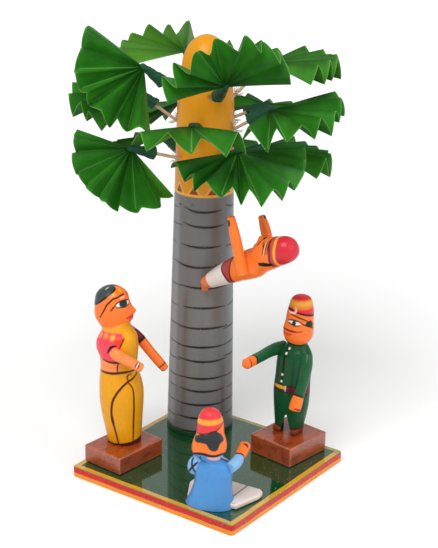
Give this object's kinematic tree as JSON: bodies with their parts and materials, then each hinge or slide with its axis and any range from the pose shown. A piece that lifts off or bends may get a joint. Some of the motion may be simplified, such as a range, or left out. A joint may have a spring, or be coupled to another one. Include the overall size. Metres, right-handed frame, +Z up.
{
  "type": "palm tree climber toy",
  "caption": "Painted carved wooden toy: a palm tree with pleated paper leaves and a climber on its trunk, with figures standing and sitting on a square board.",
  "frame": {"origin": "centre of the board's underside", "axes": "+Z up; X and Y along the board's edges; the tree stands towards +X and +Y, and the pictured side faces -X and -Y"},
  "size_m": [0.2183, 0.221, 0.3381],
  "materials": {
    "board_enamel": "gloss enamel paint, dark green with yellow and red edges, brushed by hand",
    "post_enamel": "gloss enamel paint, grey trunk with black rings and a mustard crown",
    "block_varnish": "gloss red-brown varnish",
    "skin_enamel": "gloss orange enamel paint, details brushed by hand",
    "sari_enamel": "gloss yellow enamel paint, folds brushed in black",
    "tunic_enamel": "gloss dark green enamel paint",
    "shirt_enamel": "gloss light blue enamel paint",
    "loincloth_enamel": "gloss off-white enamel paint",
    "leaf_paper": "pleated green paper, matte",
    "bamboo": "bare split bamboo",
    "steel": "bare wire nail"
  },
  "bodies": {
    "base": {"board": "board_enamel", "palm_post": "post_enamel", "post_dowel": "bamboo", "climber_peg": "bamboo", "woman_block": "block_varnish", "woman_body": "sari_enamel", "woman_right_arm": "skin_enamel", "woman_left_arm": "skin_enamel", "woman_nail": "steel", "policeman_block": "block_varnish", "policeman_body": "tunic_enamel", "policeman_right_arm": "tunic_enamel", "policeman_left_arm": "tunic_enamel", "policeman_nail": "steel", "seated_man_body": "shirt_enamel", "seated_man_legs": "loincloth_enamel", "seated_man_right_arm": "shirt_enamel", "seated_man_left_arm": "shirt_enamel"},
    "climber": {"climber_body": "skin_enamel", "climber_right_arm": "skin_enamel", "climber_left_arm": "skin_enamel"},
    "leaf_top_1_on_stick": {"leaf_top_1": "leaf_paper", "stick_top_1": "bamboo"},
    "leaf_top_2_on_stick": {"leaf_top_2": "leaf_paper", "stick_top_2": "bamboo"},
    "leaf_top_3_on_stick": {"leaf_top_3": "leaf_paper", "stick_top_3": "bamboo"},
    "leaf_top_4_on_stick": {"leaf_top_4": "leaf_paper", "stick_top_4": "bamboo"},
    "leaf_top_5_on_stick": {"leaf_top_5": "leaf_paper", "stick_top_5": "bamboo"},
    "leaf_middle_1_on_stick": {"leaf_middle_1": "leaf_paper", "stick_middle_1": "bamboo"},
    "leaf_middle_2_on_stick": {"leaf_middle_2": "leaf_paper", "stick_middle_2": "bamboo"},
    "leaf_middle_3_on_stick": {"leaf_middle_3": "leaf_paper", "stick_middle_3": "bamboo"},
    "leaf_middle_4_on_stick": {"leaf_middle_4": "leaf_paper", "stick_middle_4": "bamboo"},
    "leaf_middle_5_on_stick": {"leaf_middle_5": "leaf_paper", "stick_middle_5": "bamboo"},
    "leaf_low_1_on_stick": {"leaf_low_1": "leaf_paper", "stick_low_1": "bamboo"},
    "leaf_low_2_on_stick": {"leaf_low_2": "leaf_paper", "stick_low_2": "bamboo"},
    "leaf_low_3_on_stick": {"leaf_low_3": "leaf_paper", "stick_low_3": "bamboo"},
    "leaf_low_4_on_stick": {"leaf_low_4": "leaf_paper", "stick_low_4": "bamboo"},
    "leaf_low_5_on_stick": {"leaf_low_5": "leaf_paper", "stick_low_5": "bamboo"}
  },
  "joints": [
    {"name": "climber_turn", "type": "hinge", "parent": "base", "child": "climber", "pos_m": [0.02716, 0.02743, 0.14], "axis": [-0.766, -0.6428, 0], "range_deg": [-40, 95]},
    {"name": "leaf_top_1_turn", "type": "hinge", "parent": "base", "child": "leaf_top_1_on_stick", "pos_m": [0.02704, 0.05362, 0.2825], "axis": [-0.6746, 0.3895, 0.6271], "range_deg": [-4, 4]},
    {"name": "leaf_top_2_turn", "type": "hinge", "parent": "base", "child": "leaf_top_2_on_stick", "pos_m": [0.05729, 0.06091, 0.2805], "axis": [0.3813, 0.5872, 0.714], "range_deg": [-4, 4]},
    {"name": "leaf_top_3_turn", "type": "hinge", "parent": "base", "child": "leaf_top_3_on_stick", "pos_m": [0.06637, 0.04847, 0.2785], "axis": [0.7435, 0.1992, 0.6384], "range_deg": [-4, 4]},
    {"name": "leaf_top_4_turn", "type": "hinge", "parent": "base", "child": "leaf_top_4_on_stick", "pos_m": [0.03331, 0.02534, 0.2825], "axis": [-0.4811, -0.6871, 0.5444], "range_deg": [-4, 4]},
    {"name": "leaf_top_5_turn", "type": "hinge", "parent": "base", "child": "leaf_top_5_on_stick", "pos_m": [0.06051, 0.02746, 0.2805], "axis": [0.4966, -0.5142, 0.6993], "range_deg": [-4, 4]},
    {"name": "leaf_middle_1_turn", "type": "hinge", "parent": "base", "child": "leaf_middle_1_on_stick", "pos_m": [0.03848, 0.06358, 0.2585], "axis": [-0.2773, 0.8053, 0.5241], "range_deg": [-4, 4]},
    {"name": "leaf_middle_2_turn", "type": "hinge", "parent": "base", "child": "leaf_middle_2_on_stick", "pos_m": [0.05201, 0.02194, 0.2565], "axis": [0.2486, -0.8132, 0.5262], "range_deg": [-4, 4]},
    {"name": "leaf_middle_3_turn", "type": "hinge", "parent": "base", "child": "leaf_middle_3_on_stick", "pos_m": [0.06539, 0.03367, 0.2605], "axis": [0.8795, -0.4101, 0.2414], "range_deg": [-4, 4]},
    {"name": "leaf_middle_4_turn", "type": "hinge", "parent": "base", "child": "leaf_middle_4_on_stick", "pos_m": [0.02562, 0.034, 0.2585], "axis": [-0.8488, -0.3779, 0.3698], "range_deg": [-4, 4]},
    {"name": "leaf_middle_5_turn", "type": "hinge", "parent": "base", "child": "leaf_middle_5_on_stick", "pos_m": [0.05654, 0.06184, 0.2585], "axis": [0.4725, 0.8184, 0.3269], "range_deg": [-4, 4]},
    {"name": "leaf_low_1_turn", "type": "hinge", "parent": "base", "child": "leaf_low_1_on_stick", "pos_m": [0.02537, 0.05233, 0.2345], "axis": [-0.8675, 0.4045, 0.2895], "range_deg": [-4, 4]},
    {"name": "leaf_low_2_turn", "type": "hinge", "parent": "base", "child": "leaf_low_2_on_stick", "pos_m": [0.0376, 0.02206, 0.2345], "axis": [-0.3074, -0.8007, 0.5142], "range_deg": [-4, 4]},
    {"name": "leaf_low_3_turn", "type": "hinge", "parent": "base", "child": "leaf_low_3_on_stick", "pos_m": [0.0625, 0.02821, 0.2305], "axis": [0.7052, -0.613, 0.3562], "range_deg": [-4, 4]},
    {"name": "leaf_low_4_turn", "type": "hinge", "parent": "base", "child": "leaf_low_4_on_stick", "pos_m": [0.0456, 0.06522, 0.2345], "axis": [0, 0.9327, 0.3608], "range_deg": [-4, 4]},
    {"name": "leaf_low_5_turn", "type": "hinge", "parent": "base", "child": "leaf_low_5_on_stick", "pos_m": [0.06499, 0.0541, 0.2305], "axis": [0.8393, 0.4846, 0.2463], "range_deg": [-4, 4]}
  ]
}
